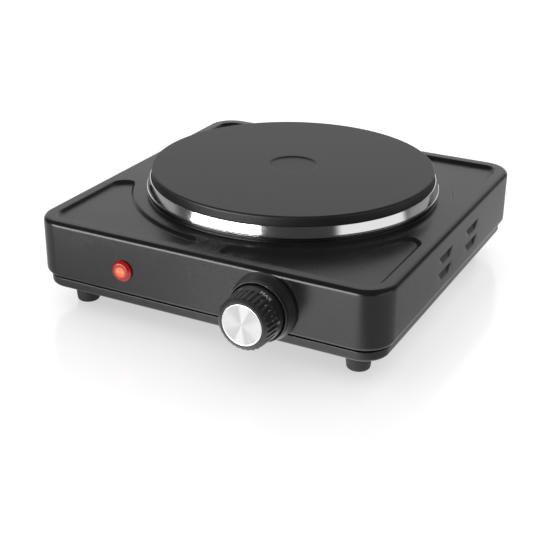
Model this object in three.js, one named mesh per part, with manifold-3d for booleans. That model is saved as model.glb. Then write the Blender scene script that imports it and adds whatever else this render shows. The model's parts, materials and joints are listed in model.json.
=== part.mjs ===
// Single-burner electric hot plate: an assembly of separate solids, in millimetres.
// +Z is up, the front with the knob faces -Y, right is +X. z = 0 is the surface under the feet.
// The origin is at the middle of the whole object's box, so the housing sits a little behind it.
import * as THREE from 'three';
import { mergeVertices } from 'three/addons/utils/BufferGeometryUtils.js';
import Module from 'manifold-3d';

const wasm = await Module();
wasm.setup();

// ---- driving dimensions ----------------------------------------------------------------------
const gap = 0.3;             // kept between pieces that touch
const housingW = 234.6;      // housing, left to right
const housingD = 238;        // housing, front to back
const cornerR = 18.5;        // its upright corners
const edgeR = 3.2;           // its top and bottom edges
const wall = 1;              // sheet thickness of housing and tray
const housingH = 37.4;       // bottom lip to top face
const lipIn = 1.2;           // flat inward lip under the curled bottom edge
const trayInset = 2.8;       // tray band inside the housing's faces
const trayBand = 7;          // visible height of the tray band
const trayEdgeR = 1.2;
const seamGap = 0.6;         // open seam between tray band and housing lip
const trayNeck = 6.2;        // tray neck reaching up inside the housing
const footH = 14.8;
const footR = 7.5;
const footInset = 22.8;      // foot centres from the housing's faces

const plateR = 92.5;         // cast-iron cooking plate
const plateBack = 6.5;       // its centre, behind the housing's centre
const plateLift = 15.9;      // plate face above the housing's top face
const plateEdge = 11.5;      // height of the plate's full-radius edge
const plateRim = 2.7;        // rim below that edge, through the housing's opening
const plateWeb = 8.2;        // iron between cooking face and heater hollow
const plateRimStep = 2;      // how far the rim is set in from the edge
const plateRimT = 4.5;
const bossR = 24;
const recessR = 15.9;        // shallow round recess in the middle of the cooking face
const recessDepth = 0.8;
const ringT = 0.8;           // trim ring sheet
const ringH = 6.7;
const ringFlare = 2;         // how far the ring opens out towards its foot
const collarH = 3;           // raised collar round the opening
const pocketDepth = 2.2;     // four sunken pockets in the top
const pocketSide = 8;        // pocket edge from the housing's side faces
const pocketFront = 8.5;     // and from its front and back faces
const pocketLand = 8.6;      // level land left between collar and pockets
const sideLand = 35.4;       // half length of the level land at each side
const sideLandY = 0.9;       // its middle, behind the housing's centre
const frontLand = 9;         // half width of the level land at front and back
const pocketSlope = 2.4;     // width of a pocket's sloped edge

const louvreL = 25;          // side louvres: two columns of two on each side
const louvreY = 4.4;         // middle of the columns, behind the housing's centre
const louvreH = 6.6;
const louvreDeep = 2.4;
const louvrePitchY = 49.5;
const louvrePitchZ = 10.6;
const louvreTop = 11.9;      // upper row's top edge below the housing's top face

const knobX = 45.3;          // knob axis from the housing's middle
const knobZ = 37.65;
const knobR = 16.95;         // skirt radius at the bezel's mouth
const knobReach = 27.6;      // cap face in front of the housing's face
const gripR = 15.87;
const capR = 12.5;
const capT = 1.6;
const fluteCount = 30;
const fluteL = 9;
const bezelR = 20.6;
const bezelH = 9.7;
const bezelBore = 17.7;
const shaftR = 3;
const bushR = 5;
const screwR = 1.5;

const lampX = -51;
const lampZ = 38.3;
const lensR = 6.7;
const lensBarrelR = 5;

const glandX = -60;
const glandZ = 36;
const glandReach = 6;
const glandBore = 4;
const glandNeckR = 6.5;

const studR = 3;
const footScrewR = 2;
const leadR = 1.2;
const round = 40;            // sides of a large circle
const small = 14;            // sides of a small one

// ---- places worked out from them -------------------------------------------------------------
const trayZ = footH;
const lipZ = trayZ + trayBand + seamGap;
const topZ = lipZ + housingH;
const plateTopZ = topZ + plateLift;
const plateEdgeZ = plateTopZ - plateEdge;
const rimZ = plateEdgeZ - plateRim;
const hollowZ = plateTopZ - plateWeb;
const collarZ = topZ + collarH;
const rimR = plateR - plateRimStep;
const openingR = rimR + 0.5;
const ringFootR = plateR + gap + ringT + ringFlare;
const collarR = ringFootR - 0.4;
const coverZ = rimZ + 0.4;
const coverT = 0.8;
const coverR = rimR - plateRimT - 0.4;
const shieldZ = rimZ - 9.5;
const shieldT = 0.8;
const bridgeZ = shieldZ - 6.5;
const bridgeT = 2;
const frontY = -housingD / 2;
const backY = housingD / 2;
const shiftY = (knobReach - glandReach) / 2;

const paint = material(0x2b2b2b, 0.42, 0.3);
const darkPaint = material(0x262626, 0.5, 0.3);
const castIron = material(0x2f2f2f, 0.7, 0.2);
const stainless = material(0xc8c8c8, 0.2, 1);
const rubber = material(0x151515, 0.85, 0);
const plastic = material(0x1c1c1c, 0.45, 0);
const aluminium = material(0xe0e0e0, 0.3, 1);
const redLens = material(0xd02010, 0.2, 0);
const zinc = material(0x9a9a94, 0.4, 1);
const ceramic = material(0xe6ddc8, 0.7, 0);
const brass = material(0xb89a50, 0.35, 1);
const glass = material(0xffa060, 0.1, 0);
const sleeving = material(0xd8d4cc, 0.7, 0);

function material(color, roughness, metalness) {
  return new THREE.MeshStandardMaterial({ color, roughness, metalness });
}

// ---- solids ----------------------------------------------------------------------------------
function toSolid(geometry) {
  const bare = geometry.clone();
  bare.deleteAttribute('normal');
  bare.deleteAttribute('uv');
  const merged = mergeVertices(bare, 1e-4);
  const vertProperties = Float32Array.from(merged.attributes.position.array);
  const triVerts = Uint32Array.from(merged.index.array);
  if (signedVolume(vertProperties, triVerts) < 0) triVerts.reverse();
  return new wasm.Manifold(new wasm.Mesh({ numProp: 3, vertProperties, triVerts }));
}

function signedVolume(points, triangles) {
  let sum = 0;
  const corner = (i) => new THREE.Vector3().fromArray(points, triangles[i] * 3);
  for (let i = 0; i < triangles.length; i += 3) {
    sum += corner(i).dot(corner(i + 1).cross(corner(i + 2)));
  }
  return sum;
}

function toGeometry(solid) {
  const mesh = solid.getMesh();
  const geometry = new THREE.BufferGeometry();
  geometry.setAttribute('position', new THREE.BufferAttribute(mesh.vertProperties, 3));
  geometry.setIndex(new THREE.BufferAttribute(mesh.triVerts, 1));
  geometry.computeVertexNormals();
  return geometry;
}

const join = (first, ...rest) => rest.reduce((sum, next) => sum.add(next), first);
const cut = (first, ...rest) => rest.reduce((left, next) => left.subtract(next), first);

// A rectangle with round corners, its size given by half-lengths.
function roundRect(halfX, halfY, radius, steps = 4) {
  const shape = new THREE.Shape();
  const corners = [[1, 1], [-1, 1], [-1, -1], [1, -1]];
  corners.forEach(([sx, sy], k) => {
    for (let i = 0; i <= steps; i++) {
      const a = (k + i / steps) * Math.PI / 2;
      const x = sx * (halfX - radius) + radius * Math.cos(a);
      const y = sy * (halfY - radius) + radius * Math.sin(a);
      if (k === 0 && i === 0) shape.moveTo(x, y);
      else shape.lineTo(x, y);
    }
  });
  return shape;
}

const inset = (distance, steps) => roundRect(
  housingW / 2 - distance, housingD / 2 - distance, cornerR - distance, steps);

function slab(shape, z0, z1, edge = 0, steps = 2) {
  const geometry = new THREE.ExtrudeGeometry(shape, {
    depth: z1 - z0 - 2 * edge, curveSegments: 1, bevelEnabled: edge > 0,
    bevelThickness: edge, bevelSize: edge, bevelOffset: -edge, bevelSegments: steps });
  return toSolid(geometry.translate(0, 0, z0 + edge));
}

function box(x0, x1, y0, y1, z0, z1) {
  const geometry = new THREE.BoxGeometry(x1 - x0, y1 - y0, z1 - z0);
  return toSolid(geometry.translate((x0 + x1) / 2, (y0 + y1) / 2, (z0 + z1) / 2));
}

function rod(radius, z0, z1, x = 0, y = 0, sides = small, topR = radius) {
  const geometry = new THREE.CylinderGeometry(topR, radius, z1 - z0, sides);
  return toSolid(geometry.rotateX(Math.PI / 2).translate(x, y, (z0 + z1) / 2));
}

// A closed profile of [radius, height] points turned about the Z axis.
function spin(profile, sides = round) {
  const closed = profile[0][0] === 0 ? profile : [...profile, profile[0]];
  const points = closed.map(([r, z]) => new THREE.Vector2(r, z));
  return toSolid(new THREE.LatheGeometry(points, sides).rotateX(Math.PI / 2));
}

// An outline of [x, z] points, as thick along Y as y0 to y1.
function profileAlongY(points, y0, y1) {
  const shape = new THREE.Shape(points.map(([x, z]) => new THREE.Vector2(x, z)));
  const geometry = new THREE.ExtrudeGeometry(shape, { depth: y1 - y0, bevelEnabled: false });
  return toSolid(geometry.rotateX(Math.PI / 2).translate(0, y1, 0));
}

function hexagon(acrossFlats, z0, z1) {
  return rod(acrossFlats / Math.sqrt(3), z0, z1, 0, 0, 6);
}

// A round wire along a smooth curve through the points.
function wire(points, radius, steps, sides = 6) {
  const section = new THREE.Shape();
  for (let i = 0; i < sides; i++) {
    const a = i / sides * 2 * Math.PI;
    section[i ? 'lineTo' : 'moveTo'](radius * Math.cos(a), radius * Math.sin(a));
  }
  const path = new THREE.CatmullRomCurve3(points.map((p) => new THREE.Vector3(...p)));
  return toSolid(new THREE.ExtrudeGeometry(section, { steps, extrudePath: path }));
}

// ---- the tree --------------------------------------------------------------------------------
const hotPlate = new THREE.Group();
hotPlate.position.y = shiftY;

function place(parent, name, solid, look) {
  const mesh = new THREE.Mesh(toGeometry(solid), look);
  mesh.name = name;
  parent.add(mesh);
  return mesh;
}

// A group whose local +Z points out of the front or the back face.
function faceGroup(x, y, z, turn) {
  const group = new THREE.Group();
  group.position.set(x, y, z);
  group.rotation.x = turn * Math.PI / 2;
  hotPlate.add(group);
  return group;
}

const atFront = (x, z) => faceGroup(x, frontY, z, 1);
const atBack = (x, z) => faceGroup(x, backY, z, -1);

const plateGroup = new THREE.Group();
plateGroup.position.y = plateBack;
hotPlate.add(plateGroup);

// ---- housing ---------------------------------------------------------------------------------
function pocketField(level, grow) {
  const shape = roundRect(housingW / 2 - pocketSide, housingD / 2 - pocketFront, cornerR - pocketSide);
  const field = slab(shape, level - pocketDepth, level + pocketDepth, 0);
  const landR = collarR + pocketLand - grow;
  const round0 = rod(landR + pocketSlope, level - pocketDepth, level, 0, plateBack, round, landR);
  const above = rod(landR, level - 1, level + 4, 0, plateBack, round);
  const side = landRib(sideLand - grow, housingW, level, true);
  const front = landRib(frontLand - grow, housingD, level, false);
  const pockets = cut(field, round0, above, side, front);
  return grow ? pockets.intersect(slab(shape, level - 9, level + 9)) : draft(pockets, shape, level);
}

// Slopes the pockets' outer edges by cutting them with a tapered block.
function draft(pockets, shape, level) {
  const taper = slab(shape, level - pocketDepth, level + 2 * pocketSlope, pocketSlope, 1);
  return pockets.intersect(taper);
}

// A level land across the top, with sloped flanks.
function landRib(half, length, level, alongX) {
  const rib = profileAlongY([[-half - pocketSlope, level - pocketDepth - 1], [half + pocketSlope,
    level - pocketDepth - 1], [half, level + 4], [-half, level + 4]], -length, length);
  return alongX ? rib.rotate([0, 0, 90]).translate([0, sideLandY, 0]) : rib;
}

function louvreSolids(side) {
  const backing = [];
  const cutters = [];
  const x = (depth) => side * (housingW / 2 - depth);
  for (const column of [-0.5, 0.5]) {
    for (const row of [0, 1]) {
      const y = louvreY + column * louvrePitchY;
      const z1 = topZ - louvreTop - row * louvrePitchZ;
      const z0 = z1 - louvreH;
      const half = louvreL / 2;
      const behind = [[x(wall - 0.05), z0 - wall], [x(louvreDeep + wall), z1], [x(wall - 0.05), z1]];
      const scoop = [[x(-2), z0], [x(0), z0], [x(louvreDeep), z1], [x(-2), z1]];
      backing.push(profileAlongY(behind, y - half - wall, y + half + wall));
      cutters.push(profileAlongY(scoop, y - half, y + half));
    }
  }
  return { backing, cutters };
}

function housingShell() {
  const outer = slab(inset(0), lipZ, topZ, edgeR);
  const inner = slab(inset(wall), lipZ + wall, topZ - wall, edgeR - wall);
  const mouth = slab(inset(edgeR + lipIn), lipZ - 1, lipZ + 2 * wall);
  const pocketPans = pocketField(topZ - wall + 0.01, wall);
  let shell = cut(outer, inner, mouth);
  shell = join(shell, pocketPans);
  const collar = rod(collarR, topZ - wall, collarZ, 0, plateBack, round);
  const well = rod(collarR - wall, topZ - 3 * wall, collarZ - wall, 0, plateBack, round);
  const opening = rod(openingR, topZ - 3 * wall, collarZ + 1, 0, plateBack, round);
  shell = cut(join(shell, collar), well, opening, pocketField(topZ, 0));
  for (const side of [-1, 1]) {
    const { backing, cutters } = louvreSolids(side);
    shell = cut(join(shell, ...backing), ...cutters);
  }
  const front = [
    drill(knobX, knobZ, bushR + gap), drill(lampX, lampZ, lensBarrelR + gap),
    ...[-1, 1].map((s) => drill(knobX + s * bracketScrewX, knobZ, screwR + 0.4)),
    ...[-1, 1].map((s) => drill(knobX + s * bezelPegX, knobZ, screwR + 0.4)),
  ];
  const back = drill(glandX, glandZ, glandNeckR + gap).translate([0, housingD, 0]);
  place(hotPlate, 'housing_shell', cut(shell, ...front, back), paint);
}

// A short cylinder through the front wall.
function drill(x, z, radius) {
  const bit = rod(radius, -4 * wall, 4 * wall).rotate([90, 0, 0]);
  return bit.translate([x, frontY, z]);
}

// ---- base tray, feet and the brackets they are screwed to --------------------------------------
const neckInset = edgeR + lipIn + gap + 0.2;
const footX = housingW / 2 - footInset;
const footY = housingD / 2 - footInset;

function baseTray() {
  const top = trayZ + trayBand;
  const band = slab(inset(trayInset), trayZ, top, trayEdgeR);
  const neck = slab(inset(neckInset), top - wall, top + trayNeck);
  const hollow = slab(inset(trayInset + wall), trayZ + wall, top - wall);
  const throat = slab(inset(neckInset + wall), trayZ + wall + 1, top + trayNeck + 1);
  const holes = [];
  for (const sx of [-1, 1]) {
    for (const sy of [-1, 1]) {
      holes.push(rod(footScrewR + gap, trayZ - 1, trayZ + 3, sx * footX, sy * footY));
    }
  }
  const slot = slab(roundRect(15, 2, 2, 2), trayZ - 1, trayZ + 3);
  for (const sx of [-1, 1]) {
    for (let i = -2; i <= 2; i++) holes.push(slot.translate([sx * 34, plateBack + i * 11, 0]));
  }
  holes.push(rod(screwR + 0.4, trayZ - 1, trayZ + 3, earthX, earthY));
  place(hotPlate, 'base_tray', cut(join(band, neck), hollow, throat, ...holes), darkPaint);
}

function footSet(sx, sy) {
  const name = `${sy < 0 ? 'front' : 'rear'}_${sx < 0 ? 'left' : 'right'}`;
  const corner = new THREE.Group();
  corner.position.set(sx * footX, sy * footY, 0);
  hotPlate.add(corner);
  const top = footH - gap;
  const seat = footH * 0.55;
  const foot = spin([[3.7, 0], [footR - 1.1, 0], [footR - 0.5, 1], [footR, top - 2], [footR, top],
    [footScrewR + gap, top], [footScrewR + gap, seat], [3.7, seat]], small);
  place(corner, `foot_${name}`, foot, rubber);
  const tabZ = trayZ + trayBand + trayNeck + 2;
  const head = rod(3.3, seat - gap - 2.4, seat - gap);
  const shank = rod(footScrewR, seat - gap - 0.5, tabZ + 4);
  const slotCut = box(-4, 4, -0.5, 0.5, seat - gap - 3, seat - gap - 1.6);
  place(corner, `foot_screw_${name}`, cut(join(head, shank), slotCut), zinc);
  const t = 1.6;
  const reach = footInset - wall - gap;
  const outline = [[-7, tabZ], [reach, tabZ], [reach, tabZ + 15], [reach - t, tabZ + 15],
    [reach - t, tabZ + t], [-7, tabZ + t]].map(([x, z]) => [sx * x, z]);
  const toCorner = footInset - cornerR;
  const span = sy < 0 ? [-toCorner, 10] : [-10, toCorner];
  const bracket = cut(profileAlongY(outline, ...span), rod(footScrewR + gap, tabZ - 1, tabZ + 3));
  place(corner, `corner_bracket_${name}`, bracket, zinc);
}

// ---- cooking plate, ring and heater --------------------------------------------------------------
function cookingPlate() {
  const rimInner = rimR - plateRimT;
  const boss = coverZ + coverT + gap;
  const profile = [[0, plateTopZ - recessDepth], [recessR - 0.8, plateTopZ - recessDepth],
    [recessR, plateTopZ], [plateR - 1.4, plateTopZ], [plateR - 0.4, plateTopZ - 0.4],
    [plateR, plateTopZ - 1.4], [plateR, plateEdgeZ], [rimR, plateEdgeZ], [rimR, rimZ],
    [rimInner, rimZ], [rimInner, hollowZ], [bossR, hollowZ], [bossR, boss], [0, boss]];
  const studHole = rod(studR + gap, boss - 1, plateTopZ - 3.5);
  place(plateGroup, 'cast_iron_plate', cut(spin(profile), studHole), castIron);
}

function trimRing() {
  const foot = collarZ + gap;
  const top = plateR + gap;
  const mid = top + ringFlare * 0.35;
  const profile = [[openingR, foot], [ringFootR, foot], [mid + ringT, foot + ringH / 2],
    [top + ringT, foot + ringH], [top, foot + ringH], [mid, foot + ringH / 2], [top + 1.2, foot + ringT],
    [openingR, foot + ringT]];
  place(plateGroup, 'trim_ring', spin(profile), stainless);
}

const terminalY = -45;      // ceramic block, in front of the plate's centre
const terminalX = 8;        // its two terminals, left and right

function heatingElement() {
  const wireR = 1.8;
  const z = (coverZ + coverT + hollowZ) / 2;
  const points = [[-terminalX, terminalY, z]];
  const arc = (radius, from, to, count) => {
    for (let i = 0; i <= count; i++) {
      const a = THREE.MathUtils.degToRad(from + (to - from) * i / count);
      points.push([radius * Math.cos(a), radius * Math.sin(a), z]);
    }
  };
  arc(rimR - plateRimT - 11, -106, -418, 20);
  arc(rimR - plateRimT - 26, -418, -132, 15);
  arc(bossR + 18, -138, -428, 12);
  points.push([terminalX, terminalY, z]);
  const legs = [-1, 1].map((s) => rod(wireR, coverZ - gap, z + 0.5, s * terminalX, terminalY, 12));
  place(plateGroup, 'heating_element', join(wire(points, wireR, 60, 5), ...legs), zinc);
}

function heaterCovers() {
  const cover = spin([[studR + gap, coverZ], [coverR, coverZ], [coverR, coverZ + coverT],
    [studR + gap, coverZ + coverT]]);
  const legs = [-1, 1].map((s) => rod(2.6, coverZ - 1, coverZ + 2, s * terminalX, terminalY));
  place(plateGroup, 'element_cover', cut(cover, ...legs), zinc);
  const edge = rimZ - 0.7;
  const shield = spin([[studR + gap, shieldZ], [coverR - 8, shieldZ], [coverR, edge - 1], [coverR, edge],
    [coverR - 1, edge], [coverR - 8.6, shieldZ + shieldT], [studR + gap, shieldZ + shieldT]]);
  const window = box(-blockW / 2 - 0.5, blockW / 2 + 0.5, terminalY - blockD / 2 - 0.5,
    terminalY + blockD / 2 + 0.5, shieldZ - 1, shieldZ + 2);
  place(plateGroup, 'heat_shield', cut(shield, window), stainless);
}

const blockW = 30;
const blockD = 14;

function plateTerminals() {
  const z0 = shieldZ - 2;
  const z1 = coverZ - 2 * gap;
  const holes = [-1, 1].map((s) => rod(1.6, z0 - 1, z1 + 1, s * terminalX, terminalY, 12));
  const body = box(-blockW / 2, blockW / 2, terminalY - blockD / 2, terminalY + blockD / 2, z0, z1);
  const notch = box(-2, 2, terminalY - blockD, terminalY + blockD, z0 - 1, z0 + 4);
  place(plateGroup, 'plate_terminal_block', cut(body, notch, ...holes), ceramic);
  for (const side of [-1, 1]) {
    const x = side * terminalX;
    const stem = rod(1.2, z0 - 1.2, z1 - 0.4, x, terminalY, 12);
    const blade = box(x - 3.15, x + 3.15, terminalY - 0.4, terminalY + 0.4, z0 - 8.5, z0 - 0.6);
    place(plateGroup, `terminal_tab_${side < 0 ? 'left' : 'right'}`, join(stem, blade), zinc);
  }
}

function clampStack() {
  const nutTop = bridgeZ - gap;
  const nutZ = nutTop - 6.2;
  const stud = rod(studR, nutZ - 3, plateTopZ - 3.5 - gap);
  place(plateGroup, 'plate_stud', stud, zinc);
  const sleeve = cut(rod(6, shieldZ + shieldT + gap, coverZ - gap), rod(studR + gap, shieldZ, coverZ + 1));
  place(plateGroup, 'stud_sleeve', sleeve, zinc);
  const flanged = join(hexagon(10, nutZ, nutTop), rod(8, nutTop - 1.4, nutTop));
  const nut = cut(flanged, rod(studR + gap, nutZ - 1, nutTop + 1));
  place(plateGroup, 'clamp_nut', nut, zinc);
  const bear = topZ - wall - gap;
  const inner = collarR - 8;
  const outer = collarR + 12;
  const half = [[inner, bridgeZ], [collarR + 3.5, bear - bridgeT], [outer, bear - bridgeT],
    [outer, bear], [collarR + 2, bear], [inner - 1.5, bridgeZ + bridgeT]];
  const outline = [...half, ...half.map(([x, z]) => [-x, z]).reverse()];
  const bridge = cut(profileAlongY(outline, -12, 12), rod(studR + gap, bridgeZ - 1, bridgeZ + 3));
  place(plateGroup, 'clamp_bridge', bridge, zinc);
}

// ---- knob and thermostat, on one axis --------------------------------------------------------------
const bracketScrewX = 11.2;
const bezelPegX = (bezelBore + bezelR) / 2;
const shaftIn = 14;          // shaft end behind the panel's face
const bodyFront = -12;       // ceramic body, behind the panel's face
const bodyBack = -34;
const bodyHalfX = 13.2;
const bodyHalfZ = 9;

function knob(axis) {
  const front = knobReach - 0.2;
  const chamfer = knobReach - 25.6;
  const back = 2.6;
  const seat = knobReach - capT - gap;
  const outline = [[0, seat], [capR + gap, seat], [capR + gap, front], [gripR, front - chamfer + 0.2],
    [knobR, bezelH + 1.9], [knobR + 0.15, back], [knobR - 1.4, back], [gripR - 2.2, seat - 1.6],
    [shaftR + 2.4, seat - 1.6], [shaftR + 2.4, back + 0.6], [0, back + 0.6]];
  const bore = rod(shaftR + gap, back, seat - 3);
  const flat = box(-shaftR - 1, shaftR + 1, shaftR - 0.9 + gap, shaftR + 2, back - 1, seat);
  const flutes = [];
  for (let i = 0; i < fluteCount; i++) {
    const a = (i + 0.5) / fluteCount * 2 * Math.PI;
    const tool = new THREE.CylinderGeometry(1.1, 0.9, fluteL + 3, 4).rotateX(Math.PI / 2);
    const r = gripR + 0.42;
    tool.translate(r * Math.cos(a), r * Math.sin(a), knobReach - chamfer - fluteL + (fluteL + 3) / 2);
    flutes.push(toSolid(tool));
  }
  const body = cut(spin(outline, fluteCount), cut(bore, flat), ...flutes);
  place(axis, 'knob_body', body, plastic);
  const cap = spin([[0, seat + gap], [capR, seat + gap], [capR, knobReach - 0.25], [capR - 0.4, knobReach],
    [0, knobReach]], fluteCount);
  place(axis, 'knob_cap', cap, aluminium);
  const ring = cut(rod(shaftR + 3.4, 6, 10), rod(shaftR + 2.4 + gap, 5, 11), box(-1.5, 1.5, -9, 0, 5, 11));
  place(axis, 'knob_spring', ring, zinc);
}

function bezel(axis) {
  const outline = [[bezelBore, gap], [bezelR, gap], [bezelR - 0.2, 2], [bezelR - 1.7, bezelH - 0.7],
    [bezelBore + 0.7, bezelH], [bezelBore, bezelH]];
  const drop = knobZ - lipZ;
  const lap = cut(rod(bezelR, gap - trayInset, 1, 0, 0, round), rod(bezelBore, -9, 9, 0, 0, round));
  const below = box(-bezelR, bezelR, -bezelR - 1, -drop - gap, -9, 9);
  const pegs = [-1, 1].map((s) => rod(screwR, -2.5, 1, s * bezelPegX, 0, 12));
  place(axis, 'knob_bezel', join(spin(outline), lap.intersect(below), ...pegs), plastic);
}

function thermostat(axis) {
  const shaft = rod(shaftR, -shaftIn, knobReach - capT - gap - 3.6);
  const flat = box(-4, 4, shaftR - 0.9, 5, 1.9, 40);
  place(axis, 'thermostat_shaft', cut(shaft, flat), brass);

  const plateBackZ = -wall - gap;
  const flange = rod(7.5, plateBackZ - 1.2 - gap - 1.5, plateBackZ - 1.2 - gap);
  const neck = rod(bushR, bodyFront + gap, 2.2);
  const bush = cut(join(neck, flange), rod(shaftR + gap, -20, 9));
  place(axis, 'thermostat_bush', bush, brass);

  const armX = bodyHalfX + gap;
  const t = 1.2;
  const strap = [[armX + t, plateBackZ], [armX + t, bodyBack], [armX, bodyBack], [armX, plateBackZ - t],
    [-armX, plateBackZ - t], [-armX, bodyBack], [-armX - t, bodyBack], [-armX - t, plateBackZ]];
  const holes = [rod(bushR + gap, -9, 9),
    ...[-1, 1].map((s) => rod(screwR + 0.4, -9, 9, s * bracketScrewX))];
  place(axis, 'thermostat_bracket', cut(profileAlongY(strap, -6, 6), ...holes), zinc);
  for (const side of [-1, 1]) {
    const x = side * bracketScrewX;
    const screw = cut(join(rod(2.5, gap, 1.8, x), rod(screwR, -4.6, 1, x)),
      box(x - 3, x + 3, -0.4, 0.4, 1.2, 3));
    place(axis, `bracket_screw_${side < 0 ? 'left' : 'right'}`, screw, zinc);
  }

  const block = box(-bodyHalfX, bodyHalfX, -bodyHalfZ, bodyHalfZ, bodyBack, bodyFront);
  const socket = rod(shaftR + 0.4, bodyFront - 8, 9);
  const rivetHole = rod(1.5, bodyBack - 1, bodyBack + 5, -10, 0, 12);
  const body = cut(block, socket, rod(2, bodyBack - 1, 0), rivetHole);
  place(axis, 'thermostat_body', body, ceramic);
  const pin = join(rod(2.8, bodyFront - 5.2, bodyFront - 3.6), rod(1.6, bodyBack - 1, bodyFront - 4));
  place(axis, 'adjuster_pin', pin, ceramic);

  const t2 = 0.4;
  const leafZ = bodyBack - gap;
  const leaf = [[-12.5, leafZ], [-7, leafZ], [-4, leafZ - 1.5], [11, leafZ - 1.5], [11, leafZ - 1.5 - t2],
    [-4.2, leafZ - 1.5 - t2], [-7.2, leafZ - t2], [-12.5, leafZ - t2]];
  const rivetClear = rod(1.5, bodyBack - 9, bodyBack + 1, -10, 0, 12);
  place(axis, 'contact_leaf', cut(profileAlongY(leaf, -3, 3), rivetClear), brass);
  const stripZ = leafZ - 3.2;
  const strip = slab(roundRect(12.5, 4, 1.5, 3), stripZ - 0.8, stripZ);
  place(axis, 'bimetal_strip', cut(strip, rivetClear), stainless);
  const rivet = join(rod(1.2, stripZ - 2, bodyBack + 4, -10, 0, 12),
    rod(2.2, stripZ - 2.2, stripZ - 0.8 - gap, -10, 0, 12));
  place(axis, 'stack_rivet', rivet, brass);
}

// ---- pilot lamp --------------------------------------------------------------------------------
function pilotLamp(axis) {
  const dome = [];
  const crown = [];
  for (let i = 0; i <= 3; i++) {
    const a = i / 3 * Math.PI / 2;
    dome.push([lensR * Math.sin(a), 0.9 + 2 * Math.cos(a)]);
    crown.unshift([(lensBarrelR - 1) * Math.sin(a), 0.2 + 1.2 * Math.cos(a)]);
  }
  const lens = [...dome, [lensR, gap], [lensBarrelR, gap], [lensBarrelR, -9], [lensBarrelR - 1, -9], ...crown];
  place(axis, 'pilot_lens', spin(lens, small), redLens);
  const clipZ = -wall - gap;
  const clip = cut(rod(8, clipZ - 0.6, clipZ), rod(lensBarrelR + gap, clipZ - 2, clipZ + 1));
  place(axis, 'pilot_clip', clip, zinc);
  const cup = cut(rod(6.4, -16, -7.5), rod(lensBarrelR + gap, -9 - gap, 0));
  place(axis, 'pilot_body', cup, plastic);
  const neon = join(rod(2.2, -8.8, -2.4, 0, 0, 10), toSolid(new THREE.SphereGeometry(2.2, 10, 6).translate(0, 0, -2.4)));
  place(axis, 'pilot_neon', neon, glass);
}

// ---- mains inlet and wiring ----------------------------------------------------------------------
const saddleY = backY - 18;
const blockY = backY - 44;
const earthX = glandX - 28;
const earthY = blockY - 8;
const floorZ = trayZ + wall + gap;

function cordGland(axis) {
  const profile = [[glandBore, -wall - gap - 2], [glandNeckR + 2, -wall - gap - 2],
    [glandNeckR + 2, -wall - gap], [glandNeckR, -wall - gap], [glandNeckR, gap], [glandNeckR + 2.5, gap],
    [glandNeckR + 2.5, 2], [glandNeckR, 3], [glandNeckR - 0.8, glandReach], [glandBore, glandReach]];
  place(axis, 'cord_gland', spin(profile, 24), plastic);
}

function cordClamp() {
  const groove = rod(glandBore - 0.2, -20, 20).rotate([90, 0, 0]).translate([glandX, saddleY, glandZ]);
  const y0 = saddleY - 5;
  const y1 = saddleY + 5;
  const bores = [-1, 1].map((s) => rod(screwR + 0.4, floorZ + 6, 60, glandX + s * 9, saddleY, 12));
  const saddle = cut(box(glandX - 14, glandX + 14, y0, y1, floorZ, glandZ - 1), groove, ...bores);
  place(hotPlate, 'cord_saddle', saddle, plastic);
  const bar = cut(box(glandX - 13, glandX + 13, y0, y1, glandZ + 1, glandZ + 6.5), groove, ...bores);
  place(hotPlate, 'cord_clamp', bar, plastic);
  for (const side of [-1, 1]) {
    const x = glandX + side * 9;
    const top = glandZ + 6.5 + gap;
    const screw = cut(join(rod(screwR, floorZ + 8, top + 1, x, saddleY, 12), rod(2.8, top, top + 1.8, x, saddleY)),
      box(x - 3, x + 3, saddleY - 0.4, saddleY + 0.4, top + 1, top + 3));
    place(hotPlate, `clamp_screw_${side < 0 ? 'left' : 'right'}`, screw, zinc);
  }
}

function mainsBlock() {
  const body = slab(roundRect(17, 8, 1, 2), floorZ, floorZ + 15, 0.8, 1);
  const wells = [-1, 0, 1].map((i) => rod(2.4, floorZ + 8, floorZ + 20, i * 10.5, 0, 16));
  const waists = [-1, 1].flatMap((i) => [-1, 1].map((s) => box(i * 5.25 - 0.8, i * 5.25 + 0.8, s * 8 - 1,
    s * 8 + 1, floorZ + 3, floorZ + 20)));
  const block = cut(body, ...wells, ...waists).translate([glandX, blockY, 0]);
  place(hotPlate, 'mains_block', block, ceramic);
  const tag = join(box(earthX - 4, earthX + 4, earthY - 9, earthY + 4, floorZ, floorZ + 0.8),
    box(earthX - 3, earthX + 3, earthY - 9, earthY - 8.2, floorZ, floorZ + 8));
  place(hotPlate, 'earth_tag', cut(tag, rod(screwR + 0.4, trayZ, trayZ + 5, earthX, earthY)), brass);
  const headZ = floorZ + 0.8 + gap;
  const screw = join(rod(screwR, trayZ + 0.3, headZ + 1, earthX, earthY),
    rod(3, headZ, headZ + 1.8, earthX, earthY));
  place(hotPlate, 'earth_screw', screw, brass);
}

const fuseX = 26;
const fuseY = -26;          // thermal fuse, from the plate's centre
const fuseZ = shieldZ - 4.6;

function thermalFuse() {
  const lying = rod(2.2, -7, 7, 0, 0, 16).rotate([0, 90, 0]).translate([fuseX, fuseY, fuseZ]);
  place(plateGroup, 'thermal_fuse', lying, stainless);
  const top = shieldZ - gap;
  const channel = cut(box(fuseX - 4, fuseX + 4, fuseY - 3.4, fuseY + 3.4, fuseZ - 3, top),
    box(fuseX - 5, fuseX + 5, fuseY - 2.6, fuseY + 2.6, fuseZ - 4, top - 1));
  place(plateGroup, 'fuse_clip', channel, zinc);
}

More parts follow.
